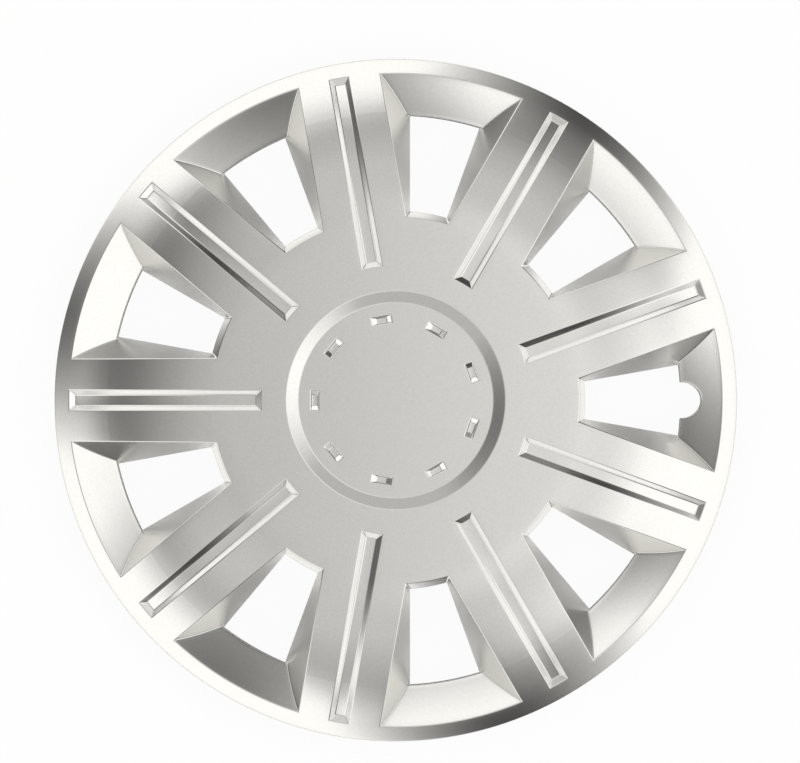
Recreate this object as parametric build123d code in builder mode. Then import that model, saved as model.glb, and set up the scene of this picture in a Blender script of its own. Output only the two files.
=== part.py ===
from build123d import *
import math
import os

# Full-face wheel cover for a 15 inch steel wheel, in millimetres. It is one thin ABS moulding with nine
# spokes, nine windows and nine clip legs, and an open ring of spring wire that presses the legs against the
# wheel's rim. +Z is the wheel axis and points out of the face. The origin is on the axis, level with the tips
# of the legs. The first window, which has the notch for the tyre valve, is on +X.

# Shell
cover_radius = 199.0
wall = 2.6
spoke_count = 9
skirt_height = 6.0

# Face: a flat crown that runs tangentially into a round shoulder
shoulder_width = 97.0
shoulder_arc = 211.0

# Sunken hub disc, with one small tangential recess for each spoke
hub_radius = 57.0
hub_step_width = 6.8
hub_depth = 1.7
recess_radius = 47.2
recess_width = 4.7
recess_length = 11.7
recess_depth = 1.5
recess_side_wall = 0.75
recess_end_wall = 2.85

# Spokes, and the groove along each one
spoke_width_inner = 49.0
spoke_width_outer = 48.0
groove_width = 11.8
groove_clearance = 14.8
groove_depth = 2.4
groove_wall = 2.9

# Windows, which start where the spokes have parted far enough. The widths of their walls, seen from the
# front, run from the front edge to the edge of the hole
window_start_width = 25.8
rim_band = 8.4
outer_wall_width = 24.0
outer_wall_slope = 21.0
lip_width = 0.9
inner_wall_width = 3.5
inner_wall_depth = 3.4
side_wall_inner = 3.1
side_wall_outer = 13.2
valve_notch_radius = 10.4

# Wire ring, and the clip legs that hold it
wire_diameter = 3.2
wire_clearance = 0.15
wire_sides = 8
ring_gap = 50.0
ring_height = 7.0
leg_reach = 22.0
leg_inset = 17.2
leg_width = 24.0
leg_thickness = 3.0
bead_reach = 3.6
bead_height = 12.0
bead_nose = 3.0
hook_reach = 3.2
hook_thickness = 2.4
gusset_thickness = 2.2
gusset_length = 18.0
gusset_spacing = 17.0

# Cutting bodies run this far past the faces that they cut
overrun = 6.0

# Section of the face: the shoulder's arc falls from the crown to the top of the skirt
spoke_angle = 180 / spoke_count
shoulder_start = cover_radius - shoulder_width
arc_centre = leg_reach + skirt_height - math.sqrt(shoulder_arc**2 - shoulder_width**2)

# Radii of the windows, the grooves and the hub step
spoke_lean = math.radians(spoke_angle)
window_outer = cover_radius - rim_band
lip_radius = window_outer - outer_wall_width
hole_outer = lip_radius - lip_width
window_inner = window_start_width / 2 / math.tan(spoke_lean) + spoke_width_inner / 2 / math.sin(spoke_lean)
hole_inner = window_inner + inner_wall_width
hole_length = hole_outer - hole_inner
hub_step_radius = hub_radius + hub_step_width
groove_inner = hub_step_radius + groove_clearance

# Sections that bound one window or one groove are turned through this sector, from one spoke to the next
sector_start = Plane.XZ.rotated((0, 0, -spoke_angle))


def face_height(radius, below=0.0):
    """Height of the face at a radius, or of the surface a distance below it."""
    out = max(0, radius - shoulder_start)
    return arc_centre + math.sqrt((shoulder_arc - below) ** 2 - out**2)


def face_point(radius, below=0.0):
    return (radius, face_height(radius, below))


def draw_face(start, end, below=0.0):
    """Draws the section of the face, or of the surface below it, out to a radius on the shoulder."""
    if start < shoulder_start:
        Line(face_point(start, below), face_point(shoulder_start, below))
    bend = max(start, shoulder_start)
    ThreePointArc(face_point(bend, below), face_point((bend + end) / 2, below), face_point(end, below))


def run_on(low, high, below=overrun, above=overrun):
    """The ends of the straight wall through two points, run on below the low one and above the high one."""
    lean = (high[0] - low[0]) / (high[1] - low[1])
    return (low[0] - lean * below, low[1] - below), (high[0] + lean * above, high[1] + above)


# The edges of the holes lie on one cone round the wheel axis
outer_wall_rise = math.tan(math.radians(outer_wall_slope))
lip_top = face_height(window_outer) - outer_wall_width * outer_wall_rise
lip_bottom = lip_top - wall / math.cos(math.radians(outer_wall_slope))
hole_top = face_height(hole_inner) - inner_wall_depth
hole_fall = (hole_top - lip_bottom) / hole_length


def hole_height(radius):
    """Height of the edge of a hole at a radius."""
    return hole_top - hole_fall * (radius - hole_inner)


def side_wall(x, grow):
    """The foot and the head of a window's side wall in the section at x, moved outwards by grow."""
    along = (x - window_inner) / (window_outer - window_inner)
    spoke_width = spoke_width_inner + (spoke_width_outer - spoke_width_inner) * along
    head = x * math.tan(spoke_lean) - spoke_width / 2 / math.cos(spoke_lean)
    along_hole = max(0, (x - hole_inner) / hole_length)
    wall_width = side_wall_inner + (side_wall_outer - side_wall_inner) * along_hole
    foot = head - wall_width / math.cos(spoke_lean)
    head_height = face_height(math.hypot(x, head))
    foot_height = min(hole_height(math.hypot(x, foot)), head_height - inner_wall_depth)
    shift = grow * math.hypot(head - foot, head_height - foot_height) / (head_height - foot_height)
    return (foot + shift, foot_height), (head + shift, head_height)


def window_wedge(grow):
    """The body between the two side walls of the window on +X, moved outwards by grow."""
    first = window_inner - 2 * wall
    sections = 3
    with BuildPart() as wedge:
        for k in range(sections):
            x = first + (window_outer - first) * k / (sections - 1)
            low, high = run_on(*side_wall(x, grow))
            with BuildSketch(Plane(origin=(x, 0, 0), x_dir=(0, 1, 0), z_dir=(1, 0, 0))):
                Polygon((-low[0], low[1]), low, high, (-high[0], high[1]), align=None)
        loft()
    return wedge.part


# Opening of one window: two side walls, a round inner wall, and a long outer wall that ends in a steep lip
opening_wedge = window_wedge(0)
with BuildPart() as window_opening:
    add(opening_wedge)
    with BuildSketch(sector_start):
        low, high = run_on((hole_inner, hole_top), face_point(window_inner), above=2 * overrun)
        Polygon(
            low,
            (hole_outer, lip_bottom - overrun),
            (hole_outer, lip_bottom),
            (lip_radius, lip_top),
            face_point(window_outer),
            (window_outer, high[1]),
            high,
            align=None,
        )
    revolve(axis=Axis.Z, revolution_arc=2 * spoke_angle, mode=Mode.INTERSECT)

# Block that the funnel of one window is cut from, a wall's thickness larger than the opening
funnel_wedge = window_wedge(wall)
with BuildPart() as funnel_block:
    add(funnel_wedge)
    with BuildSketch(sector_start):
        with BuildLine():
            inner_lean = inner_wall_width / inner_wall_depth
            block_inner = window_inner - wall * math.hypot(1, inner_lean)
            block_foot = block_inner + inner_lean * (face_height(window_inner) - hole_top)
            draw_face(block_inner, window_outer, wall / 2)
            Polyline(
                face_point(window_outer, wall / 2),
                (window_outer, lip_bottom + (window_outer - hole_outer) * outer_wall_rise),
                (hole_outer, lip_bottom),
                (block_foot, hole_height(block_foot)),
                face_point(block_inner, wall / 2),
            )
        make_face()
    revolve(axis=Axis.Z, revolution_arc=2 * spoke_angle, mode=Mode.INTERSECT)

# Notch for the tyre valve: a round cut through one outer wall, leaning as the lip does
lip_lean = lip_width / (lip_top - lip_bottom)
notch_start = lip_bottom - overrun
with BuildPart() as valve_notch:
    with BuildSketch(Plane.XY.offset(notch_start)):
        with Locations((lip_radius - lip_lean * (lip_top - notch_start), 0)):
            Circle(valve_notch_radius)
    extrude(amount=2 * outer_wall_width, dir=(lip_lean, 0, 1))

# Groove of one spoke: a trapezoid swept along the face, with a round wall at each end
with BuildPart() as groove:
    with BuildLine(Plane.XZ) as groove_path:
        draw_face(groove_inner - overrun, window_outer + rim_band / 2)
    with BuildSketch(Plane(groove_path.line @ 0, x_dir=(0, 1, 0), z_dir=groove_path.line % 0)):
        low, high = run_on((groove_width / 2 - groove_wall, -groove_depth), (groove_width / 2, 0), below=0)
        Polygon((-low[0], low[1]), low, high, (-high[0], high[1]), align=None)
    sweep(path=groove_path.line)
    with BuildSketch(sector_start):
        inner_foot = groove_inner + groove_wall
        outer_foot = window_outer - groove_wall
        low, high = run_on(
            (inner_foot, face_height(inner_foot) - groove_depth), face_point(groove_inner), above=2 * overrun
        )
        outer_low, outer_high = run_on(
            (outer_foot, face_height(outer_foot) - groove_depth), face_point(window_outer)
        )
        Polygon(low, high, (outer_high[0], high[1]), outer_high, outer_low, align=None)
    revolve(axis=Axis.Z, revolution_arc=2 * spoke_angle, mode=Mode.INTERSECT)

# Ridge behind the groove, which keeps the thickness of the wall
groove_lean = groove_wall / groove_depth
ridge_half = groove_width / 2 + wall * math.hypot(1, groove_lean)
with BuildPart() as ridge:
    with BuildLine(Plane.XZ) as ridge_path:
        draw_face(groove_inner - wall, window_outer + wall / 2)
    with BuildSketch(Plane(ridge_path.line @ 0, x_dir=(0, 1, 0), z_dir=ridge_path.line % 0)):
        head = ridge_half - groove_lean * wall / 2
        foot = ridge_half - groove_lean * (groove_depth + wall)
        Polygon(
            (-foot, -groove_depth - wall),
            (foot, -groove_depth - wall),
            (head, -wall / 2),
            (-head, -wall / 2),
            align=None,
        )
    sweep(path=ridge_path.line)

# Small recess in the hub disc: steep long sides and sloping ends, drawn as far above the disc as it is deep
hub_height = face_height(hub_step_radius) - hub_depth
with BuildPart() as recess:
    for level in (-1, 1):
        width = recess_width + 2 * level * recess_side_wall
        length = recess_length + 2 * level * recess_end_wall
        with BuildSketch(Plane.XY.offset(hub_height + level * recess_depth)):
            with Locations((recess_radius, 0)):
                Rectangle(width, length)
    loft(ruled=True)

# Clip leg: a tongue with a grip bead outside, and two hooks inside that hold the wire between them
leg_outer = cover_radius - leg_inset
leg_inner = leg_outer - leg_thickness
leg_top = face_height(leg_outer, wall / 2)
seat_half = wire_diameter / 2 + wire_clearance
seat_top = ring_height + seat_half
seat_bottom = ring_height - seat_half
with BuildPart() as leg:
    with BuildSketch(Plane.XZ):
        Polygon(
            (leg_inner, leg_top),
            (leg_inner, seat_top + hook_thickness),
            (leg_inner - hook_reach / 2, seat_top + hook_thickness / 2),
            (leg_inner - hook_reach / 2, seat_top),
            (leg_inner, seat_top),
            (leg_inner, seat_bottom),
            (leg_inner - hook_reach, seat_bottom),
            (leg_inner - hook_reach, seat_bottom - hook_thickness / 2),
            (leg_inner, seat_bottom - hook_thickness),
            (leg_inner, 0),
            (leg_outer, 0),
            (leg_outer, ring_height - bead_height / 2),
            (leg_outer + bead_reach, ring_height - bead_nose / 2),
            (leg_outer + bead_reach, ring_height + bead_nose / 2),
            (leg_outer, ring_height + bead_height / 2),
            (leg_outer, leg_top),
            align=None,
        )
    extrude(amount=leg_width / 2, both=True)

# Gussets that brace a leg against the back of its spoke
gusset_start = leg_inner - gusset_length
with BuildPart() as gussets:
    for side in (-1, 1):
        middle = side * gusset_spacing / 2
        with BuildSketch(Plane.XZ.offset(middle)):
            Polygon(
                face_point(gusset_start, wall / 2),
                face_point(gusset_start, 2 * wall),
                (leg_inner + leg_thickness / 2, seat_top + hook_thickness),
                (leg_inner + leg_thickness / 2, leg_top),
                align=None,
            )
        extrude(amount=gusset_thickness / 2, both=True)

# The moulded cover
step_lean = hub_depth / hub_step_width
step_shift = wall * (math.hypot(1, step_lean) - 1) / step_lean
skirt_inner = cover_radius - wall
with BuildPart() as wheel_cover:
    with BuildSketch(Plane.XZ):
        with BuildLine():
            Polyline((0, hub_height), (hub_radius, hub_height), face_point(hub_step_radius))
            draw_face(hub_step_radius, cover_radius)
            Polyline(
                face_point(cover_radius),
                (cover_radius, leg_reach),
                (skirt_inner, leg_reach),
                face_point(skirt_inner, wall),
            )
            draw_face(hub_step_radius + step_shift, skirt_inner, wall)
            Polyline(
                face_point(hub_step_radius + step_shift, wall),
                (hub_radius + step_shift, hub_height - wall),
                (0, hub_height - wall),
                (0, hub_height),
            )
        make_face()
    revolve(axis=Axis.Z)
    with PolarLocations(0, spoke_count):
        add(funnel_block.part)
    with PolarLocations(0, spoke_count, spoke_angle):
        add(ridge.part)
        add(leg.part)
        add(gussets.part)
    with PolarLocations(0, spoke_count):
        add(window_opening.part, mode=Mode.SUBTRACT)
    add(valve_notch.part, mode=Mode.SUBTRACT)
    with PolarLocations(0, spoke_count, spoke_angle):
        add(groove.part, mode=Mode.SUBTRACT)
        add(recess.part, mode=Mode.SUBTRACT)
wheel_cover.part.label = "wheel_cover"

# Open ring of spring wire in the seats of the legs, with its gap at the valve
ring_radius = leg_inner - seat_half
gap_arc = math.degrees(ring_gap / ring_radius)
with BuildPart() as retaining_ring:
    with BuildSketch(Plane.XZ.rotated((0, 0, gap_arc / 2))):
        with Locations((ring_radius, ring_height)):
            RegularPolygon(wire_diameter / 2, wire_sides)
    revolve(axis=Axis.Z, revolution_arc=360 - gap_arc)
retaining_ring.part.label = "retaining_ring"

os.makedirs("parts", exist_ok=True)
export_step(wheel_cover.part, "parts/wheel_cover.step")
export_step(retaining_ring.part, "parts/retaining_ring.step")
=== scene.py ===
import bmesh
import bpy
import math
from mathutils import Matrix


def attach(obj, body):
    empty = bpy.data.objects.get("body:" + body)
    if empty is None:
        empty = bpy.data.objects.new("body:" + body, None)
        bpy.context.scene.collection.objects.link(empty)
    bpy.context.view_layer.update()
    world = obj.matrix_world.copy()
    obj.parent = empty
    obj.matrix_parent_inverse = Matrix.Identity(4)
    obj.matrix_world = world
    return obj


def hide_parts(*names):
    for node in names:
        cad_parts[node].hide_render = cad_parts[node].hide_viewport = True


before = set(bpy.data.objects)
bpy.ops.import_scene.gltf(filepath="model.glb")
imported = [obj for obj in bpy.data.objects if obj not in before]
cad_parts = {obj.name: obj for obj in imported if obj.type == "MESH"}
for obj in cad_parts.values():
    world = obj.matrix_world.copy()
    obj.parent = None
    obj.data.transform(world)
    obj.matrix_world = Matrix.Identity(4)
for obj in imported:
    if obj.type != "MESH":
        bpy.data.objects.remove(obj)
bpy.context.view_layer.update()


# Wheel cover
# One injection moulding in ABS that fills the face of a 15 inch steel wheel. Its front is sprayed silver and
# its back is left as it came out of the mould. All sizes are in millimetres.
# Its surface is drawn for half a window and half a spoke, from the middle of the window on +X, and then
# mirrored and turned into all nine. A point is given by its radius, its angle in degrees and its height.
mm = 0.001
cover_radius = 199.0
wall = 2.6
skirt_height = 6.0
rim_seat = 22.0
spoke_count = 9
sector = 360 / spoke_count
spoke_axis = sector / 2

# The face is a flat crown that runs into a round shoulder
shoulder_start = 102.0
shoulder_arc = 211.0
arc_centre = rim_seat + skirt_height - math.sqrt(shoulder_arc**2 - (cover_radius - shoulder_start) ** 2)

# A face is kept as its finish and its corners, for what all nine sectors share and for the two kinds of window
lacquered = 0
bare = 1
shell = []
plain_window = []
valve_window = []


def face_height(radius, below=0.0):
    """Height of the face at a radius, or of the surface a distance below it."""
    out = max(0.0, radius - shoulder_start)
    return arc_centre + math.sqrt((shoulder_arc - below) ** 2 - out**2)


def underside(radius):
    return face_height(radius, wall)


def sunk(radius, depth):
    """Radius and height of the point that lies a depth below the face, square to it."""
    tilt = math.asin(max(0.0, radius - shoulder_start) / shoulder_arc)
    return radius - depth * math.sin(tilt), face_height(radius) - depth * math.cos(tilt)


def beside(radius, offset):
    """Angle at a radius of the line that runs beside the middle of the spoke."""
    return spoke_axis - math.degrees(math.asin(offset / radius))


def steps(start, end, count):
    return [start + (end - start) * k / count for k in range(count + 1)]


def strip(surface, finish, row, other, deep=None):
    """Faces between two rows of points. Beside the row named deep, the cell next to a recess has a mitre."""
    for c in range(len(row) - 1):
        a, b, d, e = row[c], row[c + 1], other[c + 1], other[c]
        if deep is None or c != 1:
            surface.append((finish, (a, b, d, e)))
        elif deep is row:
            surface.append((finish, (a, b, d)))
            surface.append((finish, (a, d, e)))
        else:
            surface.append((finish, (a, b, e)))
            surface.append((finish, (b, d, e)))


def solve(rising, low, high, halvings=48):
    """Where a rising function crosses zero."""
    for _ in range(halvings):
        middle = (low + high) / 2
        if rising(middle) < 0:
            low = middle
        else:
            high = middle
    return (low + high) / 2


# Sections of a window: along the front, from its inner edge down to the hole and up to the rim, and along
# the back
window_inner = 107.1
hole_inner = 110.6
hole_outer = 165.7
lip_radius = 166.6
window_outer = 190.6
inner_wall_depth = 3.4
outer_wall_slope = math.radians(21.0)
outer_wall_rise = math.tan(outer_wall_slope)
wall_hollow = 0.2
lip_top = face_height(window_outer) - (window_outer - lip_radius) * outer_wall_rise
lip_depth = wall / math.cos(outer_wall_slope)
lip_width = lip_radius - hole_outer
lip_bottom = lip_top - lip_depth
hole_top = face_height(hole_inner) - inner_wall_depth
hole_fall = (hole_top - lip_bottom) / (hole_outer - hole_inner)


def hole_height(radius):
    """Height of the edge of a hole at a radius."""
    return hole_top - hole_fall * (radius - hole_inner)


def outer_back(radius):
    """Height of the back of the outer wall at a radius."""
    return lip_bottom + outer_wall_rise * (radius - hole_outer)


def section_height(section, radius):
    """Height at a radius of a section that is made of straight runs."""
    for (r0, z0), (r1, z1) in zip(section, section[1:]):
        if radius <= r1 or (r1, z1) == section[-1]:
            return z0 + (z1 - z0) * (radius - r0) / (r1 - r0)


front_section = [
    (window_inner, face_height(window_inner)),
    (hole_inner, hole_top),
    (hole_outer, lip_bottom),
    (lip_radius, lip_top),
    (window_outer, face_height(window_outer)),
]
back_inner = solve(lambda r: underside(r) - hole_height(r), shoulder_start, hole_inner)
back_outer = solve(lambda r: outer_back(r) - underside(r), lip_radius, cover_radius)
back_section = [
    (back_inner, underside(back_inner)),
    (hole_outer, lip_bottom),
    (back_outer, underside(back_outer)),
]

# Side walls: in each section across the window they are straight, and they lean more towards the rim
spoke_width_inner = 49.0
spoke_width_outer = 48.0
side_wall_inner = 3.1
side_wall_outer = 13.2
first_section = 95.0
last_section = 195.0


def on_side_wall(x, up, grow):
    """Point of a side wall in the section at x, with up from 0 at the hole to 1 at the face."""
    lean = math.radians(spoke_axis)
    along = (x - window_inner) / (window_outer - window_inner)
    spoke_width = spoke_width_inner + (spoke_width_outer - spoke_width_inner) * along
    head = x * math.tan(lean) - spoke_width / 2 / math.cos(lean)
    along_hole = max(0.0, (x - hole_inner) / (hole_outer - hole_inner))
    foot = head - (side_wall_inner + (side_wall_outer - side_wall_inner) * along_hole) / math.cos(lean)
    head_height = face_height(math.hypot(x, head))
    foot_height = min(hole_height(math.hypot(x, foot)), head_height - inner_wall_depth)
    shift = grow * math.hypot(head - foot, head_height - foot_height) / (head_height - foot_height)
    y = foot + shift + (head - foot) * up
    return math.hypot(x, y), math.degrees(math.atan2(y, x)), foot_height + (head_height - foot_height) * up


def wall_point(x, grow, height_at):
    """Point of a side wall in the section at x that lies on a surface round the wheel axis."""
    past_end = 0.5

    def above(up):
        radius, _, height = on_side_wall(x, up, grow)
        return height - height_at(radius)

    return on_side_wall(x, solve(above, -past_end, 1 + past_end), grow)


def station(radius, grow, height_at):
    """The section at which the side wall meets a surface round the wheel axis at a given radius."""
    return solve(lambda x: wall_point(x, grow, height_at)[0] - radius, first_section, last_section)


def front_low(radius):
    """Height of the front of a window along its middle. The outer wall is a little hollow."""
    up = min(1.0, max(0.0, (radius - lip_radius) / (window_outer - lip_radius)))
    return section_height(front_section, radius) - 4 * wall_hollow * up * (1 - up)


def back_low(radius):
    return section_height(back_section, radius)


groove_width = 11.8
groove_floor = 6.0
groove_depth = 2.4
groove_start = 78.6
groove_wall = groove_width / 2 - groove_floor / 2
groove_foot = groove_start + groove_wall
groove_end = window_outer - groove_wall

# Steps of the surface along and across a window and a spoke
inner_wall_steps = 2
hole_steps = 18
outer_wall_steps = 8
rim_steps = 4
window_steps = 12
spoke_steps = 4
spoke_columns = spoke_steps + 3

front_marks = [
    station(window_inner, 0, face_height),
    station(hole_inner, 0, front_low),
    station(hole_outer, 0, front_low),
    station(lip_radius, 0, front_low),
    station(groove_end, 0, face_height),
    station(window_outer, 0, face_height),
]
front_stations = [
    *steps(front_marks[0], front_marks[1], inner_wall_steps)[:-1],
    *steps(front_marks[1], front_marks[2], hole_steps),
    *steps(front_marks[3], front_marks[4], outer_wall_steps),
    front_marks[5],
]
first_hole = inner_wall_steps
last_hole = first_hole + hole_steps
heads = [wall_point(x, 0, face_height) for x in front_stations]
feet = [wall_point(x, 0, front_low) for x in front_stations]
for j in range(len(heads) - 1):
    shell.append((lacquered, (feet[j], feet[j + 1], heads[j + 1], heads[j])))


def face_angles(radius, edge):
    """Angles of the columns of a row from the middle of the spoke to the edge of the window."""
    groove_edge = beside(radius, groove_width / 2)
    return [spoke_axis, beside(radius, groove_floor / 2), *steps(groove_edge, edge, spoke_steps)]


def face_row(radius, edge, grooved):
    row = [(radius, angle, face_height(radius)) for angle in face_angles(radius, edge)]
    if grooved:
        floor_radius, floor_height = sunk(radius, groove_depth)
        row[0] = (floor_radius, spoke_axis, floor_height)
        row[1] = (floor_radius, beside(floor_radius, groove_floor / 2), floor_height)
    return row


def across_window(radius, edge, height):
    """The part of a row that runs from the edge of the window to the middle of it."""
    return [(radius, angle, height) for angle in steps(edge, 0.0, window_steps)]


# Hub: a sunken disc with a sloping step round it, and one small recess for each spoke
hub_radius = 57.0
hub_step_radius = 63.8
hub_depth = 1.7
hub_height = face_height(0.0) - hub_depth
recess_radius = 47.2
recess_depth = 1.5
recess_half_width = 2.35
recess_half_length = 5.85
recess_side_wall = 0.75
recess_end_wall = 2.85
recess_half_floor = recess_half_length - recess_end_wall
recess_rows = [
    (recess_radius - recess_half_width, 0.0),
    (recess_radius - recess_half_width + recess_side_wall, recess_depth),
    (recess_radius + recess_half_width - recess_side_wall, recess_depth),
    (recess_radius + recess_half_width, 0.0),
]
middle_radius = 20.0
inner_edge = heads[0][1]
rows = []
for along, depth in recess_rows:
    corner = spoke_axis - math.degrees(math.atan2(recess_half_length, along))
    radius = math.hypot(along, recess_half_length)
    row = [
        (along, spoke_axis, hub_height - depth),
        (
            math.hypot(along, recess_half_floor),
            spoke_axis - math.degrees(math.atan2(recess_half_floor, along)),
            hub_height - depth,
        ),
        *[(radius, angle, hub_height) for angle in steps(corner, inner_edge, spoke_steps)],
        *across_window(radius, inner_edge, hub_height)[1:],
    ]
    rows.append(row)
middle_row = [(middle_radius, angle, hub_height) for _, angle, _ in rows[0]]
for c in range(len(middle_row) - 1):
    shell.append((lacquered, ((0.0, 0.0, hub_height), middle_row[c], middle_row[c + 1])))
strip(shell, lacquered, middle_row, rows[0])
strip(shell, lacquered, rows[0], rows[1], deep=rows[1])
strip(shell, lacquered, rows[1], rows[2])
strip(shell, lacquered, rows[2], rows[3], deep=rows[2])

# Spokes: the crown and the shoulder, with a groove along the middle of each spoke
edge_row = rows[3]
for radius, height in ((hub_radius, hub_height), (hub_step_radius, face_height(hub_step_radius))):
    row = [(radius, angle, height) for angle in face_angles(radius, inner_edge)]
    row += across_window(radius, inner_edge, height)[1:]
    strip(shell, lacquered, edge_row, row)
    edge_row = row
crown_radii = (71.0, groove_start, groove_foot, 88.0, 95.0, shoulder_start, window_inner)
for radius in crown_radii:
    grooved = radius > groove_start
    row = face_row(radius, inner_edge, grooved) + across_window(radius, inner_edge, face_height(radius))[1:]
    strip(shell, lacquered, edge_row, row, deep=row if radius == groove_foot else None)
    edge_row = row
edge_row = edge_row[:spoke_columns]
for radius, edge, _ in heads[1:-1]:
    row = face_row(radius, edge, True)
    strip(shell, lacquered, edge_row, row)
    edge_row = row
outer_edge = heads[-1][1]
rim_row = face_row(window_outer, outer_edge, False)
strip(shell, lacquered, edge_row, rim_row, deep=edge_row)
edge_row = rim_row + across_window(window_outer, outer_edge, face_height(window_outer))[1:]
for radius in steps(window_outer, cover_radius, rim_steps)[1:]:
    row = face_row(radius, outer_edge, False) + across_window(radius, outer_edge, face_height(radius))[1:]
    strip(shell, lacquered, edge_row, row)
    edge_row = row
skirt_row = [(cover_radius, angle, rim_seat) for _, angle, _ in edge_row]
strip(shell, lacquered, edge_row, skirt_row)

# Windows: a round inner wall, and a long outer wall that ends in a steep lip
inner_rows = [across_window(radius, edge, height) for radius, edge, height in feet[: first_hole + 1]]
for row, other in zip(inner_rows, inner_rows[1:]):
    strip(shell, lacquered, row, other)
outer_feet = feet[last_hole + 1 :]
outer_rows = [across_window(radius, edge, height) for radius, edge, height in outer_feet]
for row, other in zip(outer_rows, outer_rows[1:]):
    strip(plain_window, lacquered, row, other)
plain_lip = across_window(*feet[last_hole])
strip(plain_window, lacquered, plain_lip, outer_rows[0])

# The window on +X has a round notch in its lip, through which the tyre valve is reached
notch_radius = 10.4
notch_steps = 8
lip_steps = window_steps - notch_steps
lip_lean = lip_width / lip_depth
notch_corner = math.degrees(2 * math.asin(notch_radius / 2 / lip_radius))
corner_x = lip_radius * math.cos(math.radians(notch_corner))
notch_turn = math.degrees(math.acos((corner_x - lip_radius) / notch_radius))
top_angles = steps(outer_feet[0][1], notch_corner, lip_steps)[:-1]
bottom_angles = steps(feet[last_hole][1], notch_corner, lip_steps)[:-1]
notch_top = [(lip_radius, angle, lip_top) for angle in top_angles]
notch_bottom = [(hole_outer, angle, lip_bottom) for angle in bottom_angles]
rise_rounds = 30
for angle in steps(notch_turn, 0.0, notch_steps):
    y = notch_radius * math.sin(math.radians(angle))
    rise = 0.0
    for _ in range(rise_rounds):
        x = lip_radius + notch_radius * math.cos(math.radians(angle)) + lip_lean * rise
        rise = max(0.0, front_low(math.hypot(x, y)) - lip_top)
    top = lip_top + rise
    notch_top.append((math.hypot(x, y), math.degrees(math.atan2(y, x)), top))
    x -= lip_width
    notch_bottom.append((math.hypot(x, y), math.degrees(math.atan2(y, x)), top - lip_depth))


def fan_rows(low_row, high_row, creases, height_at):
    """Rows from a lower edge of any outline up to a round upper edge, with their first points on the crease."""
    reach = creases[-1][0] - creases[0][0]
    made = []
    for crease in creases:
        up = (crease[0] - creases[0][0]) / reach
        row = [crease]
        for low, high in zip(low_row[1:], high_row[1:]):
            radius = low[0] + (high[0] - low[0]) * up
            row.append((radius, low[1] + (high[1] - low[1]) * up, height_at(radius)))
        made.append(row)
    return made


notch_rows = fan_rows(notch_top, outer_rows[-1], outer_feet, front_low)
for row, other in zip(notch_rows, notch_rows[1:]):
    strip(valve_window, lacquered, row, other)
strip(valve_window, lacquered, notch_bottom, notch_top)

# Back: the same wall's thickness behind everything, with a ridge behind each groove
ridge_floor = 3.94
ridge_edge = 6.84
ridge_depth = groove_depth + wall
ridge_start = 76.0
ridge_rise = 2.0
ridge_end = 188.0
step_shift = 0.3
rim_back = 193.0
back_marks = [
    station(back_inner, wall, underside),
    station(hole_outer, wall, back_low),
    station(ridge_end, wall, underside),
    station(back_outer, wall, underside),
]
back_stations = [
    *steps(back_marks[0], back_marks[1], hole_steps),
    *steps(back_marks[1], back_marks[2], outer_wall_steps)[1:],
    back_marks[3],
]
back_heads = [wall_point(x, wall, underside) for x in back_stations]
back_feet = [wall_point(x, wall, back_low) for x in back_stations]
for j in range(len(back_heads) - 1):
    shell.append((bare, (back_feet[j], back_feet[j + 1], back_heads[j + 1], back_heads[j])))
back_edge = back_heads[0][1]


def back_row(radius, height, edge, ridged):
    beyond_ridge = steps(beside(radius, ridge_edge), edge, spoke_steps)
    angles = [spoke_axis, beside(radius, ridge_floor), *beyond_ridge]
    row = [(radius, angle, height) for angle in angles]
    if ridged:
        floor_radius, floor_height = sunk(radius, ridge_depth)
        row[0] = (floor_radius, spoke_axis, floor_height)
        row[1] = (floor_radius, beside(floor_radius, ridge_floor), floor_height)
    return row


hub_back = hub_height - wall
edge_row = back_row(hub_radius + step_shift, hub_back, back_edge, False)
edge_row += across_window(hub_radius + step_shift, back_edge, hub_back)[1:]
for c in range(len(edge_row) - 1):
    shell.append((bare, ((0.0, 0.0, hub_back), edge_row[c], edge_row[c + 1])))
ridge_foot = ridge_start + ridge_rise
back_radii = (hub_step_radius + step_shift, ridge_start, ridge_foot, 90.0, shoulder_start, back_inner)
for radius in back_radii:
    height = underside(radius)
    row = back_row(radius, height, back_edge, radius > ridge_start)
    row += across_window(radius, back_edge, height)[1:]
    strip(shell, bare, edge_row, row, deep=row if radius == ridge_foot else None)
    edge_row = row
back_inner_row = edge_row[spoke_columns - 1 :]
edge_row = edge_row[:spoke_columns]
for radius, edge, height in back_heads[1:-1]:
    row = back_row(radius, height, edge, True)
    strip(shell, bare, edge_row, row)
    edge_row = row
back_outer_edge = back_heads[-1][1]
row = back_row(back_outer, underside(back_outer), back_outer_edge, False)
shell.append((bare, (edge_row[0], edge_row[1], row[2], row[0])))
shell.append((bare, (edge_row[1], edge_row[2], row[2])))
strip(shell, bare, edge_row[2:], row[2:])
back_rim_angles = steps(back_outer_edge, 0.0, window_steps + 1)
back_rim = [(back_outer, angle, underside(back_outer)) for angle in back_rim_angles]
edge_row = [row[0], *row[2:], *back_rim[1:]]
skirt_inner = cover_radius - wall
for radius in (rim_back, skirt_inner):
    row = [(radius, angle, underside(radius)) for _, angle, _ in skirt_row]
    strip(shell, bare, edge_row, row)
    edge_row = row
row = [(skirt_inner, angle, rim_seat) for _, angle, _ in skirt_row]
strip(shell, bare, edge_row, row)
strip(shell, bare, row, skirt_row)

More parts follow.
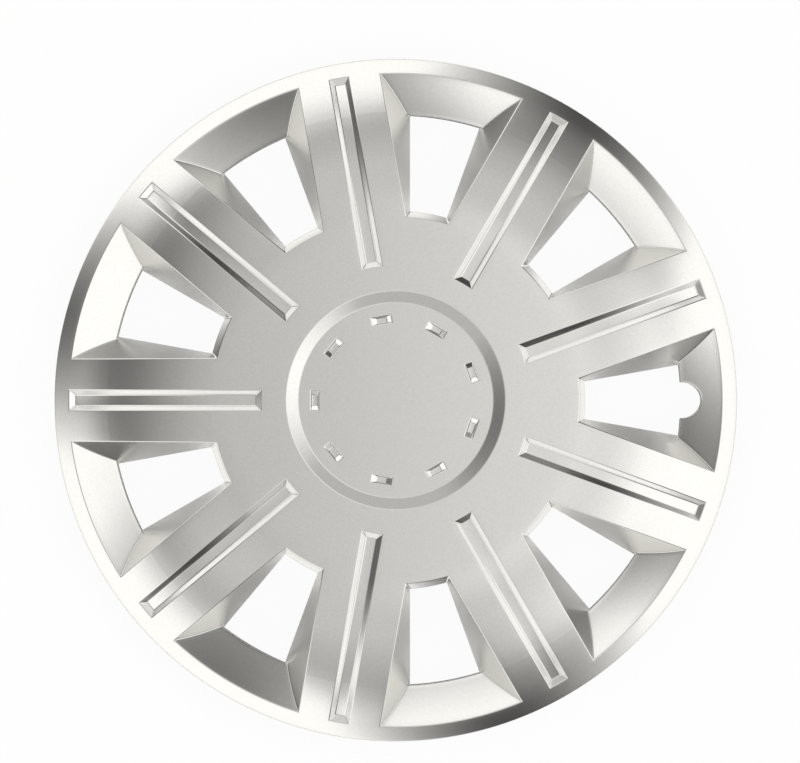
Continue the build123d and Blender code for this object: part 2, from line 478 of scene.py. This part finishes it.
# Backs of the windows, and the edges of the holes between front and back
strip(shell, bare, back_inner_row, inner_rows[-1])
strip(shell, bare, back_feet[: hole_steps + 1], feet[first_hole : last_hole + 1])
back_creases = back_feet[hole_steps:]
for window, lip in ((plain_window, plain_lip), (valve_window, notch_bottom)):
    low_row = [back_creases[0], *lip]
    back_rows = fan_rows(low_row, back_rim, back_creases, back_low)
    back_rows[0] = low_row
    for row, other in zip(back_rows, back_rows[1:]):
        strip(window, bare, row, other)


def place(radius, angle, height):
    turned = math.radians(angle)
    return radius * math.cos(turned) * mm, radius * math.sin(turned) * mm, height * mm


# Corners that fall together are dropped, and the sectors are welded
same_point = 0.01
weld_reach = 0.005
mesh = bmesh.new()
for window_number in range(spoke_count):
    window = plain_window if window_number else valve_window
    for side in (1, -1):
        for finish, corners in shell + window:
            points = [place(r, window_number * sector + side * angle, z) for r, angle, z in corners]
            different = [p for k, p in enumerate(points) if math.dist(p, points[k - 1]) > same_point * mm]
            if len(different) > 2:
                made = mesh.faces.new([mesh.verts.new(p) for p in different])
                made.material_index = finish
                made.smooth = True
bmesh.ops.remove_doubles(mesh, verts=mesh.verts, dist=weld_reach * mm)
bmesh.ops.recalc_face_normals(mesh, faces=mesh.faces)


def add_piece(name, mesh, rounding=0.0):
    """An object from a mesh, with its edges rounded as a mould's are and its flat faces kept flat."""
    data = bpy.data.meshes.new(name)
    mesh.to_mesh(data)
    mesh.free()
    piece = bpy.data.objects.new(name, data)
    bpy.context.scene.collection.objects.link(piece)
    if rounding:
        edges = piece.modifiers.new("rounded_edges", "BEVEL")
        edges.width = rounding * mm
        edges.segments = 3
        edges.limit_method = "ANGLE"
        edges.angle_limit = math.radians(13.0)
        edges.use_clamp_overlap = False
        shading = piece.modifiers.new("even_shading", "WEIGHTED_NORMAL")
        shading.keep_sharp = False
    return piece


edge_rounding = 0.45
cover = add_piece("wheel_cover_moulding", mesh, edge_rounding)


def linear(code):
    """A colour given as sRGB hex, as linear red, green, blue and alpha."""
    parts = [int(code[k : k + 2], 16) / 255 for k in (0, 2, 4)]
    return (*[c / 12.92 if c <= 0.04045 else ((c + 0.055) / 1.055) ** 2.4 for c in parts], 1.0)


def add_node(tree, kind, inputs=None, **settings):
    """Adds a node with its settings. An input is a value, or the output that is linked to it."""
    made = tree.nodes.new(kind)
    for name, value in settings.items():
        setattr(made, name, value)
    for key, value in (inputs or {}).items():
        if isinstance(value, bpy.types.NodeSocket):
            tree.links.new(value, made.inputs[key])
        else:
            made.inputs[key].default_value = value
    return made


# Silver lacquer on ABS: aluminium flakes in a sprayed base coat under a thin clear coat. It gives the eye a
# soft metallic sheen with a faint sparkle, which is duller along the surface than on aluminium, because the
# flakes don't all lie flat. The skin of the clear coat ripples a little. On the steep walls of the windows the
# spray arrives at a glancing angle and dries rough, so they are satin and a little paler.
# Real flakes are about 0.03 mm across. They are drawn at 0.7 mm, so that they show.
silver_lacquer = bpy.data.materials.new("silver_lacquer_on_abs")
silver_lacquer.use_nodes = True
tree = silver_lacquer.node_tree
tree.nodes.clear()
flake_size = 0.7
peel_size = 5.0
peel_depth = 0.02
haze_size = 60.0
where = add_node(tree, "ShaderNodeTexCoord").outputs["Object"]
flakes = add_node(tree, "ShaderNodeTexVoronoi", {"Vector": where, "Scale": 1 / (flake_size * mm)})
flake_tone = add_node(
    tree,
    "ShaderNodeMix",
    {0: flakes.outputs["Color"], 6: linear("C5C4C0"), 7: linear("CBCAC6")},
    data_type="RGBA",
)
haze = add_node(tree, "ShaderNodeTexNoise", {"Vector": where, "Scale": 1 / (haze_size * mm), "Detail": 3.0})
sheen = add_node(tree, "ShaderNodeMapRange", {"Value": haze.outputs["Fac"], "To Min": 0.11, "To Max": 0.15})

# How wet the spray lands at a slope in degrees: dry on steep walls, and wet on the skirt, which is sprayed from
# the side
dry_roughness = 0.3
wet_shares = [(90, 1.0), (82, 1.0), (76, 0.0), (53, 0.0), (47, 1.0), (0, 1.0)]
slope_cosine = add_node(
    tree,
    "ShaderNodeSeparateXYZ",
    {"Vector": add_node(tree, "ShaderNodeNewGeometry").outputs["Normal"]},
).outputs["Z"]
wetted = add_node(tree, "ShaderNodeValToRGB", {"Fac": slope_cosine})
stops = wetted.color_ramp.elements
stops[0].color = (*[wet_shares[0][1]] * 3, 1.0)
stops[1].color = (*[wet_shares[-1][1]] * 3, 1.0)
for slope, share in wet_shares[1:-1]:
    stops.new(math.cos(math.radians(slope))).color = (*[share] * 3, 1.0)
gloss = add_node(
    tree,
    "ShaderNodeMix",
    {0: wetted.outputs["Color"], 2: dry_roughness, 3: sheen.outputs["Result"]},
)
tone = add_node(
    tree,
    "ShaderNodeMix",
    {0: wetted.outputs["Color"], 6: linear("E6E5E1"), 7: flake_tone.outputs[2]},
    data_type="RGBA",
)

# The ripple of the clear coat, and the lacquer
peel = add_node(tree, "ShaderNodeTexNoise", {"Vector": where, "Scale": 1 / (peel_size * mm), "Detail": 1.0})
ripple = add_node(
    tree,
    "ShaderNodeBump",
    {"Height": peel.outputs["Fac"], "Strength": 0.15, "Distance": peel_depth * mm},
)
lacquer = add_node(
    tree,
    "ShaderNodeBsdfPrincipled",
    {
        "Base Color": tone.outputs[2],
        "Metallic": 1.0,
        "Roughness": gloss.outputs[0],
        "Specular Tint": linear("CBCBCB"),
        "Coat Weight": 0.15,
        "Coat Roughness": 0.08,
        "Normal": ripple.outputs["Normal"],
    },
)
add_node(tree, "ShaderNodeOutputMaterial", {"Surface": lacquer.outputs["BSDF"]})

# Bare ABS on the back: grey, moulded against spark-eroded steel, which leaves a fine satin grain
bare_abs = bpy.data.materials.new("bare_moulded_abs")
bare_abs.use_nodes = True
tree = bare_abs.node_tree
tree.nodes.clear()
grain_size = 0.6
grain_depth = 0.05
flow_size = 45.0
where = add_node(tree, "ShaderNodeTexCoord").outputs["Object"]
flow = add_node(tree, "ShaderNodeTexNoise", {"Vector": where, "Scale": 1 / (flow_size * mm), "Detail": 4.0})
flow_tone = add_node(
    tree,
    "ShaderNodeMix",
    {0: flow.outputs["Fac"], 6: linear("58595B"), 7: linear("646668")},
    data_type="RGBA",
)
grain = add_node(tree, "ShaderNodeTexNoise", {"Vector": where, "Scale": 1 / (grain_size * mm), "Detail": 2.0})
satin = add_node(tree, "ShaderNodeMapRange", {"Value": grain.outputs["Fac"], "To Min": 0.42, "To Max": 0.56})
grain_bump = add_node(
    tree,
    "ShaderNodeBump",
    {"Height": grain.outputs["Fac"], "Strength": 0.2, "Distance": grain_depth * mm},
)
abs_plastic = add_node(
    tree,
    "ShaderNodeBsdfPrincipled",
    {
        "Base Color": flow_tone.outputs[2],
        "Roughness": satin.outputs["Result"],
        "IOR": 1.53,
        "Normal": grain_bump.outputs["Normal"],
    },
)
add_node(tree, "ShaderNodeOutputMaterial", {"Surface": abs_plastic.outputs["BSDF"]})

cover.data.materials.append(silver_lacquer)
cover.data.materials.append(bare_abs)
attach(cover, "root")
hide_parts("wheel_cover")


# Clip legs
# Nine tongues, moulded in one with the cover behind its spokes. Each has a bead outside that grips the wheel's
# rim, and two hooks inside that hold the wire ring. Two gussets brace it against the back of the spoke.
leg_outer = 181.8
leg_inner = 178.8
leg_width = 24.0
leg_depth = 2.5
bead_reach = 3.6
bead_height = 12.0
bead_nose = 3.0
hook_reach = 3.2
hook_thickness = 2.4
ring_height = 7.0
seat_half = 1.75
seat_top = ring_height + seat_half
seat_bottom = ring_height - seat_half
leg_section = [
    (leg_inner, face_height(leg_inner, leg_depth)),
    (leg_inner, seat_top + hook_thickness),
    (leg_inner - hook_reach / 2, seat_top + hook_thickness / 2),
    (leg_inner - hook_reach / 2, seat_top),
    (leg_inner, seat_top),
    (leg_inner, seat_bottom),
    (leg_inner - hook_reach, seat_bottom),
    (leg_inner - hook_reach, seat_bottom - hook_thickness / 2),
    (leg_inner, seat_bottom - hook_thickness),
    (leg_inner, 0.0),
    (leg_outer, 0.0),
    (leg_outer, ring_height - bead_height / 2),
    (leg_outer + bead_reach, ring_height - bead_nose / 2),
    (leg_outer + bead_reach, ring_height + bead_nose / 2),
    (leg_outer, ring_height + bead_height / 2),
    (leg_outer, face_height(leg_outer, leg_depth)),
]
gusset_start = 160.8
gusset_thickness = 2.2
gusset_spacing = 17.0
gusset_end = (leg_inner + leg_outer) / 2
gusset_section = [
    (gusset_start, face_height(gusset_start, wall / 2)),
    (gusset_start, face_height(gusset_start, 2 * wall)),
    (gusset_end, seat_top + hook_thickness),
    (gusset_end, face_height(gusset_end, wall / 2)),
]


def add_prism(mesh, section, middle, width, angle):
    """A solid with a section that stands on a spoke, and a width across the spoke."""
    turned = math.radians(angle)
    sides = []
    for across in (middle - width / 2, middle + width / 2):
        side = []
        for out, height in section:
            x = out * math.cos(turned) - across * math.sin(turned)
            y = out * math.sin(turned) + across * math.cos(turned)
            side.append(mesh.verts.new((x * mm, y * mm, height * mm)))
        sides.append(side)
    near, far = sides
    mesh.faces.new(near)
    mesh.faces.new(reversed(far))
    for k in range(len(section)):
        mesh.faces.new((near[k - 1], near[k], far[k], far[k - 1]))


mesh = bmesh.new()
for spoke in range(spoke_count):
    angle = spoke_axis + spoke * sector
    add_prism(mesh, leg_section, 0.0, leg_width, angle)
    for side in (-1, 1):
        add_prism(mesh, gusset_section, side * gusset_spacing / 2, gusset_thickness, angle)
bmesh.ops.recalc_face_normals(mesh, faces=mesh.faces)
for face in mesh.faces:
    face.smooth = True
leg_rounding = 0.3
legs = add_piece("clip_legs", mesh, leg_rounding)
legs.data.materials.append(bare_abs)
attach(legs, "root")
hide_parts("wheel_cover")


# Retaining ring
# An open ring of 3.2 mm spring wire that lies in the hooks and presses the legs outwards. It is coiled from
# drawn wire and plated with zinc. Its gap is at the valve, and its ends are ground round.
wire_radius = 1.6
ring_radius = leg_inner - seat_half
ring_gap = 50.0
gap_half = math.degrees(ring_gap / 2 / ring_radius)
wire_sides = 20
wire_steps = 240

# A ground end, as shares of its length and of the wire's radius
end_length = 1.2
end_shape = [(0.0, 0.45), (0.12, 0.78), (0.4, 1.0)]
end_turn = math.degrees(end_length / ring_radius)
wire_marks = [(gap_half + share * end_turn, size) for share, size in end_shape]
wire_marks += [(angle, 1.0) for angle in steps(gap_half + end_turn, 360 - gap_half - end_turn, wire_steps)]
wire_marks += [(360 - gap_half - share * end_turn, size) for share, size in reversed(end_shape)]
mesh = bmesh.new()
hoops = []
for angle, size in wire_marks:
    hoop = []
    for k in range(wire_sides):
        turn = 2 * math.pi * k / wire_sides
        out = ring_radius + wire_radius * size * math.cos(turn)
        hoop.append(mesh.verts.new(place(out, angle, ring_height + wire_radius * size * math.sin(turn))))
    hoops.append(hoop)
for hoop, other in zip(hoops, hoops[1:]):
    for k in range(wire_sides):
        mesh.faces.new((hoop[k - 1], hoop[k], other[k], other[k - 1]))
mesh.faces.new(hoops[0])
mesh.faces.new(hoops[-1])
bmesh.ops.recalc_face_normals(mesh, faces=mesh.faces)
for face in mesh.faces:
    face.smooth = len(face.verts) == 4
ring = add_piece("retaining_ring_wire", mesh)

# Zinc-plated spring steel: bright grey metal with fine streaks along the wire, left by the drawing die
spring_steel = bpy.data.materials.new("zinc_plated_spring_steel")
spring_steel.use_nodes = True
tree = spring_steel.node_tree
tree.nodes.clear()
streak_size = 0.4
where = add_node(tree, "ShaderNodeTexCoord").outputs["Object"]
apart = add_node(tree, "ShaderNodeSeparateXYZ", {"Vector": where})
flat = add_node(tree, "ShaderNodeCombineXYZ", {"X": apart.outputs["X"], "Y": apart.outputs["Y"]})
out = add_node(tree, "ShaderNodeVectorMath", {0: flat.outputs["Vector"]}, operation="LENGTH")
round_wire = add_node(tree, "ShaderNodeCombineXYZ", {"X": out.outputs["Value"], "Y": apart.outputs["Z"]})
streaks = add_node(
    tree,
    "ShaderNodeTexNoise",
    {"Vector": round_wire.outputs["Vector"], "Scale": 1 / (streak_size * mm), "Detail": 2.0},
)
streak_tone = add_node(
    tree,
    "ShaderNodeMix",
    {0: streaks.outputs["Fac"], 6: linear("A9A9A4"), 7: linear("C6C6C2")},
    data_type="RGBA",
)
drawn = add_node(tree, "ShaderNodeMapRange", {"Value": streaks.outputs["Fac"], "To Min": 0.22, "To Max": 0.4})
steel = add_node(
    tree,
    "ShaderNodeBsdfPrincipled",
    {"Base Color": streak_tone.outputs[2], "Metallic": 1.0, "Roughness": drawn.outputs["Result"]},
)
add_node(tree, "ShaderNodeOutputMaterial", {"Surface": steel.outputs["BSDF"]})
ring.data.materials.append(spring_steel)
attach(ring, "root")
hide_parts("retaining_ring")


# Floor
# A pale translucent sheet that the cover lies on. The eye sees it nearly white, with a faint shadow of the cover.
# It lets most light through, and from below it is clear.
floor_half = 2.0
mesh = bmesh.new()
corners = ((-1, -1), (1, -1), (1, 1), (-1, 1))
mesh.faces.new([mesh.verts.new((x * floor_half, y * floor_half, 0.0)) for x, y in corners])
floor = add_piece("floor_sheet", mesh)
pale_sheet = bpy.data.materials.new("pale_translucent_sheet")
pale_sheet.use_nodes = True
tree = pale_sheet.node_tree
tree.nodes.clear()
seen_white = 0.95
mirrored_white = 0.6
seen_through = 0.7
paper = add_node(tree, "ShaderNodeBsdfDiffuse", {"Color": linear("F0F0EE")})
white = add_node(tree, "ShaderNodeEmission", {"Color": linear("FFFFFF"), "Strength": 1.0})
clear = add_node(tree, "ShaderNodeBsdfTransparent", {"Color": linear("FFFFFF")})
path = add_node(tree, "ShaderNodeLightPath")
mirrored = add_node(
    tree,
    "ShaderNodeMath",
    {0: path.outputs["Is Glossy Ray"], 1: path.outputs["Is Transmission Ray"]},
    operation="MAXIMUM",
).outputs["Value"]
mirrored_share = add_node(tree, "ShaderNodeMath", {0: mirrored, 1: mirrored_white}, operation="MULTIPLY")
white_share = add_node(
    tree,
    "ShaderNodeMath",
    {0: path.outputs["Is Camera Ray"], 1: seen_white, 2: mirrored_share.outputs["Value"]},
    operation="MULTIPLY_ADD",
)
sheet = add_node(
    tree,
    "ShaderNodeMixShader",
    {"Fac": white_share.outputs["Value"], 1: paper.outputs["BSDF"], 2: white.outputs["Emission"]},
)
from_below = add_node(tree, "ShaderNodeNewGeometry").outputs["Backfacing"]
clear_share = add_node(
    tree,
    "ShaderNodeMix",
    {0: path.outputs["Is Camera Ray"], 2: seen_through, 3: from_below},
)
translucent = add_node(
    tree,
    "ShaderNodeMixShader",
    {"Fac": clear_share.outputs[0], 1: sheet.outputs["Shader"], 2: clear.outputs["BSDF"]},
)
add_node(tree, "ShaderNodeOutputMaterial", {"Surface": translucent.outputs["Shader"]})
floor.data.materials.append(pale_sheet)


# Overhead panel
# A round sheet of diffusing film over the cover, lit more from one side. The camera looks through it.
panel_height = 0.8
panel_radius = 0.34
panel_sides = 64
mesh = bmesh.new()
edge = []
for k in range(panel_sides):
    turn = 2 * math.pi * k / panel_sides
    edge.append(mesh.verts.new((panel_radius * math.cos(turn), panel_radius * math.sin(turn), panel_height)))
mesh.faces.new(edge)
film = add_piece("overhead_film", mesh)
film.visible_camera = False
lit_film = bpy.data.materials.new("lit_diffusing_film")
lit_film.use_nodes = True
tree = lit_film.node_tree
tree.nodes.clear()
lit_half = 0.11
lit_level = 0.4
film_fade = 0.13
where = add_node(tree, "ShaderNodeTexCoord").outputs["Object"]
apart = add_node(tree, "ShaderNodeSeparateXYZ", {"Vector": where})
flat = add_node(tree, "ShaderNodeCombineXYZ", {"X": apart.outputs["X"], "Y": apart.outputs["Y"]})
out = add_node(tree, "ShaderNodeVectorMath", {0: flat.outputs["Vector"]}, operation="LENGTH")
across = add_node(
    tree,
    "ShaderNodeMapRange",
    {"Value": apart.outputs["X"], "From Min": -lit_half, "From Max": lit_half, "To Max": lit_level},
)
fade = add_node(
    tree,
    "ShaderNodeMapRange",
    {"Value": out.outputs["Value"], "From Min": panel_radius, "From Max": film_fade},
    interpolation_type="SMOOTHSTEP",
)
level = add_node(
    tree,
    "ShaderNodeMath",
    {0: across.outputs["Result"], 1: fade.outputs["Result"]},
    operation="MULTIPLY",
)
glow = add_node(tree, "ShaderNodeEmission", {"Color": linear("FFFFFF"), "Strength": level.outputs["Value"]})
clear = add_node(tree, "ShaderNodeBsdfTransparent", {"Color": linear("FFFFFF")})
both = add_node(tree, "ShaderNodeAddShader", {0: glow.outputs["Emission"], 1: clear.outputs["BSDF"]})
add_node(tree, "ShaderNodeOutputMaterial", {"Surface": both.outputs["Shader"]})
film.data.materials.append(lit_film)


# Studio
# A white tent with a round open top. Its wall has three panels with dark gaps between them, which widen towards
# the top and under the floor. On the right the wall leans in overhead, and on the left it is dark. The panels are
# dimmer halfway up, dark in a narrow strip along their foot, and fade under the floor, where a lamp shines
# straight up. The camera sees only white.
# Levels are shares of the brightness of the panels. They change with the tilt off the wheel axis, in degrees.
panel_brightness = 1.75
open_levels = [(0, 0.444), (10, 0.518), (20, 0.523), (27, 0.444), (34, 0.38), (180, 0.38)]
leaning_levels = [(0, 0.444), (7, 0.56), (14, 0.708), (21, 0.825), (27, 0.983), (33, 1.0), (180, 1.0)]
dark_levels = [(0, 0.444), (8, 0.402), (14, 0.328), (20, 0.254), (27, 0.169), (34, 0.127), (180, 0.127)]
panel_levels = [
    (0, 1.0),
    (57, 1.0),
    (62, 0.55),
    (73, 0.55),
    (79, 0.95),
    (84.6, 0.95),
    (86, 0.4),
    (87.4, 0.4),
    (88.2, 0.95),
    (95, 0.95),
    (100, 0.85),
    (111, 0.85),
    (117, 0.6),
    (121, 0.42),
    (124, 0.42),
    (127, 0.28),
    (135, 0.03),
    (150, 0.03),
    (160, 0.8),
    (180, 0.8),
]
gap_levels = [
    (0, 0.0),
    (36, 0.0),
    (40, 0.06),
    (44, 0.11),
    (47, 0.08),
    (51, 0.0),
    (92, 0.0),
    (105, 0.85),
    (111, 0.85),
    (117, 0.5),
    (121, 0.3),
    (124, 0.12),
    (130, 0.03),
    (150, 0.03),
    (160, 0.8),
    (180, 0.8),
]

# Each side has its middle, and how far from there it ends and how far it keeps its full strength
leaning_side = (345.0, 55.0, 8.0)
dark_side = (168.0, 50.0, 0.0)

# The wall starts where the top ends. Each gap has its angle, the share of light left in it, and how narrow it is,
# and all three grow sharper and turn a little from the top to the foot
wall_start = 30.0
wall_end = 47.0
gap_angles = (56.0, 165.0, 289.0)
gap_floors = (0.058, 0.127, 0.058)
gap_narrowness = (1.0, 1.4, 1.0)
gap_tilts = (30.0, 80.0)
gap_sharpness = (2.0, 15.5)
under_tilts = (94.0, 112.0)
under_sharpness = 0.25
twist_tilts = (52.0, 80.0)
gap_twist = 5.0
studio = bpy.data.worlds.new("three_panel_studio")
studio.use_nodes = True
tree = studio.node_tree
tree.nodes.clear()
toward = add_node(tree, "ShaderNodeTexCoord").outputs["Generated"]
apart = add_node(tree, "ShaderNodeSeparateXYZ", {"Vector": toward})
tilt = add_node(tree, "ShaderNodeMath", {0: apart.outputs["Z"]}, operation="ARCCOSINE").outputs["Value"]
tilt_share = add_node(tree, "ShaderNodeMath", {0: tilt, 1: math.pi}, operation="DIVIDE").outputs["Value"]
flat = add_node(tree, "ShaderNodeCombineXYZ", {"X": apart.outputs["X"], "Y": apart.outputs["Y"]})
aside = add_node(tree, "ShaderNodeVectorMath", {0: flat.outputs["Vector"]}, operation="NORMALIZE")
twist = add_node(
    tree,
    "ShaderNodeMapRange",
    {
        "Value": tilt,
        "From Min": math.radians(twist_tilts[0]),
        "From Max": math.radians(twist_tilts[1]),
        "To Max": math.radians(-gap_twist),
    },
)
twisted = add_node(
    tree,
    "ShaderNodeVectorRotate",
    {"Vector": aside.outputs["Vector"], "Angle": twist.outputs["Result"]},
    rotation_type="Z_AXIS",
)

# How bright it is at a tilt: at the top where it is open, leans in or is dark, in a panel and in a gap
by_tilt = []
for levels in (open_levels, leaning_levels, dark_levels, panel_levels, gap_levels):
    ramp = add_node(tree, "ShaderNodeValToRGB", {"Fac": tilt_share})
    stops = ramp.color_ramp.elements
    stops[0].color = (*[levels[0][1]] * 3, 1.0)
    stops[1].color = (*[levels[-1][1]] * 3, 1.0)
    for angle, level in levels[1:-1]:
        stops.new(angle / 180).color = (*[level] * 3, 1.0)
    by_tilt.append(ramp.outputs["Color"])
top, leaning, dark, panel, gap = by_tilt
for side, other in ((leaning_side, leaning), (dark_side, dark)):
    middle, edge, full = [math.radians(angle) for angle in side]
    bearing = (math.cos(middle), math.sin(middle), 0.0)
    near = add_node(
        tree,
        "ShaderNodeVectorMath",
        {0: aside.outputs["Vector"], 1: bearing},
        operation="DOT_PRODUCT",
    )
    share = add_node(
        tree,
        "ShaderNodeMapRange",
        {"Value": near.outputs["Value"], "From Min": math.cos(edge), "From Max": math.cos(full)},
    )
    top = add_node(
        tree,
        "ShaderNodeMix",
        {0: share.outputs["Result"], 2: top, 3: other},
    ).outputs[0]

# The wall: dark in the middle of a gap, and white where it is far enough from all three
under = add_node(
    tree,
    "ShaderNodeMapRange",
    {
        "Value": tilt,
        "From Min": math.radians(under_tilts[0]),
        "From Max": math.radians(under_tilts[1]),
        "To Min": 1.0,
        "To Max": under_sharpness,
    },
)
sharpness = add_node(
    tree,
    "ShaderNodeMapRange",
    {
        "Value": tilt,
        "From Min": math.radians(gap_tilts[0]),
        "From Max": math.radians(gap_tilts[1]),
        "To Min": gap_sharpness[0],
        "To Max": gap_sharpness[1],
    },
)
sharpness = add_node(
    tree,
    "ShaderNodeMath",
    {0: sharpness.outputs["Result"], 1: under.outputs["Result"]},
    operation="MULTIPLY",
)
wall_level = 1.0
for angle, floor_level, narrowness in zip(gap_angles, gap_floors, gap_narrowness):
    turned = math.radians(angle)
    bearing = (math.cos(turned), math.sin(turned), 0.0)
    near = add_node(
        tree,
        "ShaderNodeVectorMath",
        {0: twisted.outputs["Vector"], 1: bearing},
        operation="DOT_PRODUCT",
    )
    away = add_node(tree, "ShaderNodeMath", {0: 1.0, 1: near.outputs["Value"]}, operation="SUBTRACT")
    lit = add_node(
        tree,
        "ShaderNodeMath",
        {0: away.outputs["Value"], 1: sharpness.outputs["Value"]},
        operation="MULTIPLY",
    )
    share = add_node(
        tree,
        "ShaderNodeMapRange",
        {"Value": lit.outputs["Value"], "From Max": 1 / narrowness, "To Min": floor_level},
    )
    wall_level = add_node(
        tree,
        "ShaderNodeMath",
        {0: share.outputs["Result"], 1: wall_level},
        operation="MULTIPLY",
    ).outputs["Value"]
upright = add_node(
    tree,
    "ShaderNodeMapRange",
    {"Value": tilt, "From Min": math.radians(wall_start), "From Max": math.radians(wall_end)},
    interpolation_type="SMOOTHSTEP",
)
tent_wall = add_node(tree, "ShaderNodeMix", {0: wall_level, 2: gap, 3: panel})
tent = add_node(tree, "ShaderNodeMix", {0: upright.outputs["Result"], 2: top, 3: tent_wall.outputs[0]})
lit_tent = add_node(tree, "ShaderNodeMath", {0: tent.outputs[0], 1: panel_brightness}, operation="MULTIPLY")
path = add_node(tree, "ShaderNodeLightPath")
seen = add_node(
    tree,
    "ShaderNodeMix",
    {0: path.outputs["Is Camera Ray"], 2: lit_tent.outputs["Value"], 3: 1.0},
)
walls = add_node(tree, "ShaderNodeBackground", {"Color": linear("FFFFFF"), "Strength": seen.outputs[0]})
add_node(tree, "ShaderNodeOutputWorld", {"Surface": walls.outputs["Background"]})
bpy.context.scene.world = studio


# Camera
# It looks straight down on the face without perspective, with the valve notch on the right. The wheel axis is a few
# pixels left of the middle of the image, and below it.
image_width = 800
pixel = 0.5832 * mm
axis_left = 4.3
axis_below = 18.7
camera_height = 1.5
lens = bpy.data.cameras.new("camera")
lens.type = "ORTHO"
lens.ortho_scale = image_width * pixel
lens.clip_start = 0.1
lens.clip_end = 10.0
camera = bpy.data.objects.new("camera", lens)
camera.location = (axis_left * pixel, axis_below * pixel, camera_height)
bpy.context.scene.collection.objects.link(camera)
bpy.context.scene.camera = camera
bpy.context.scene.view_settings.view_transform = "Standard"
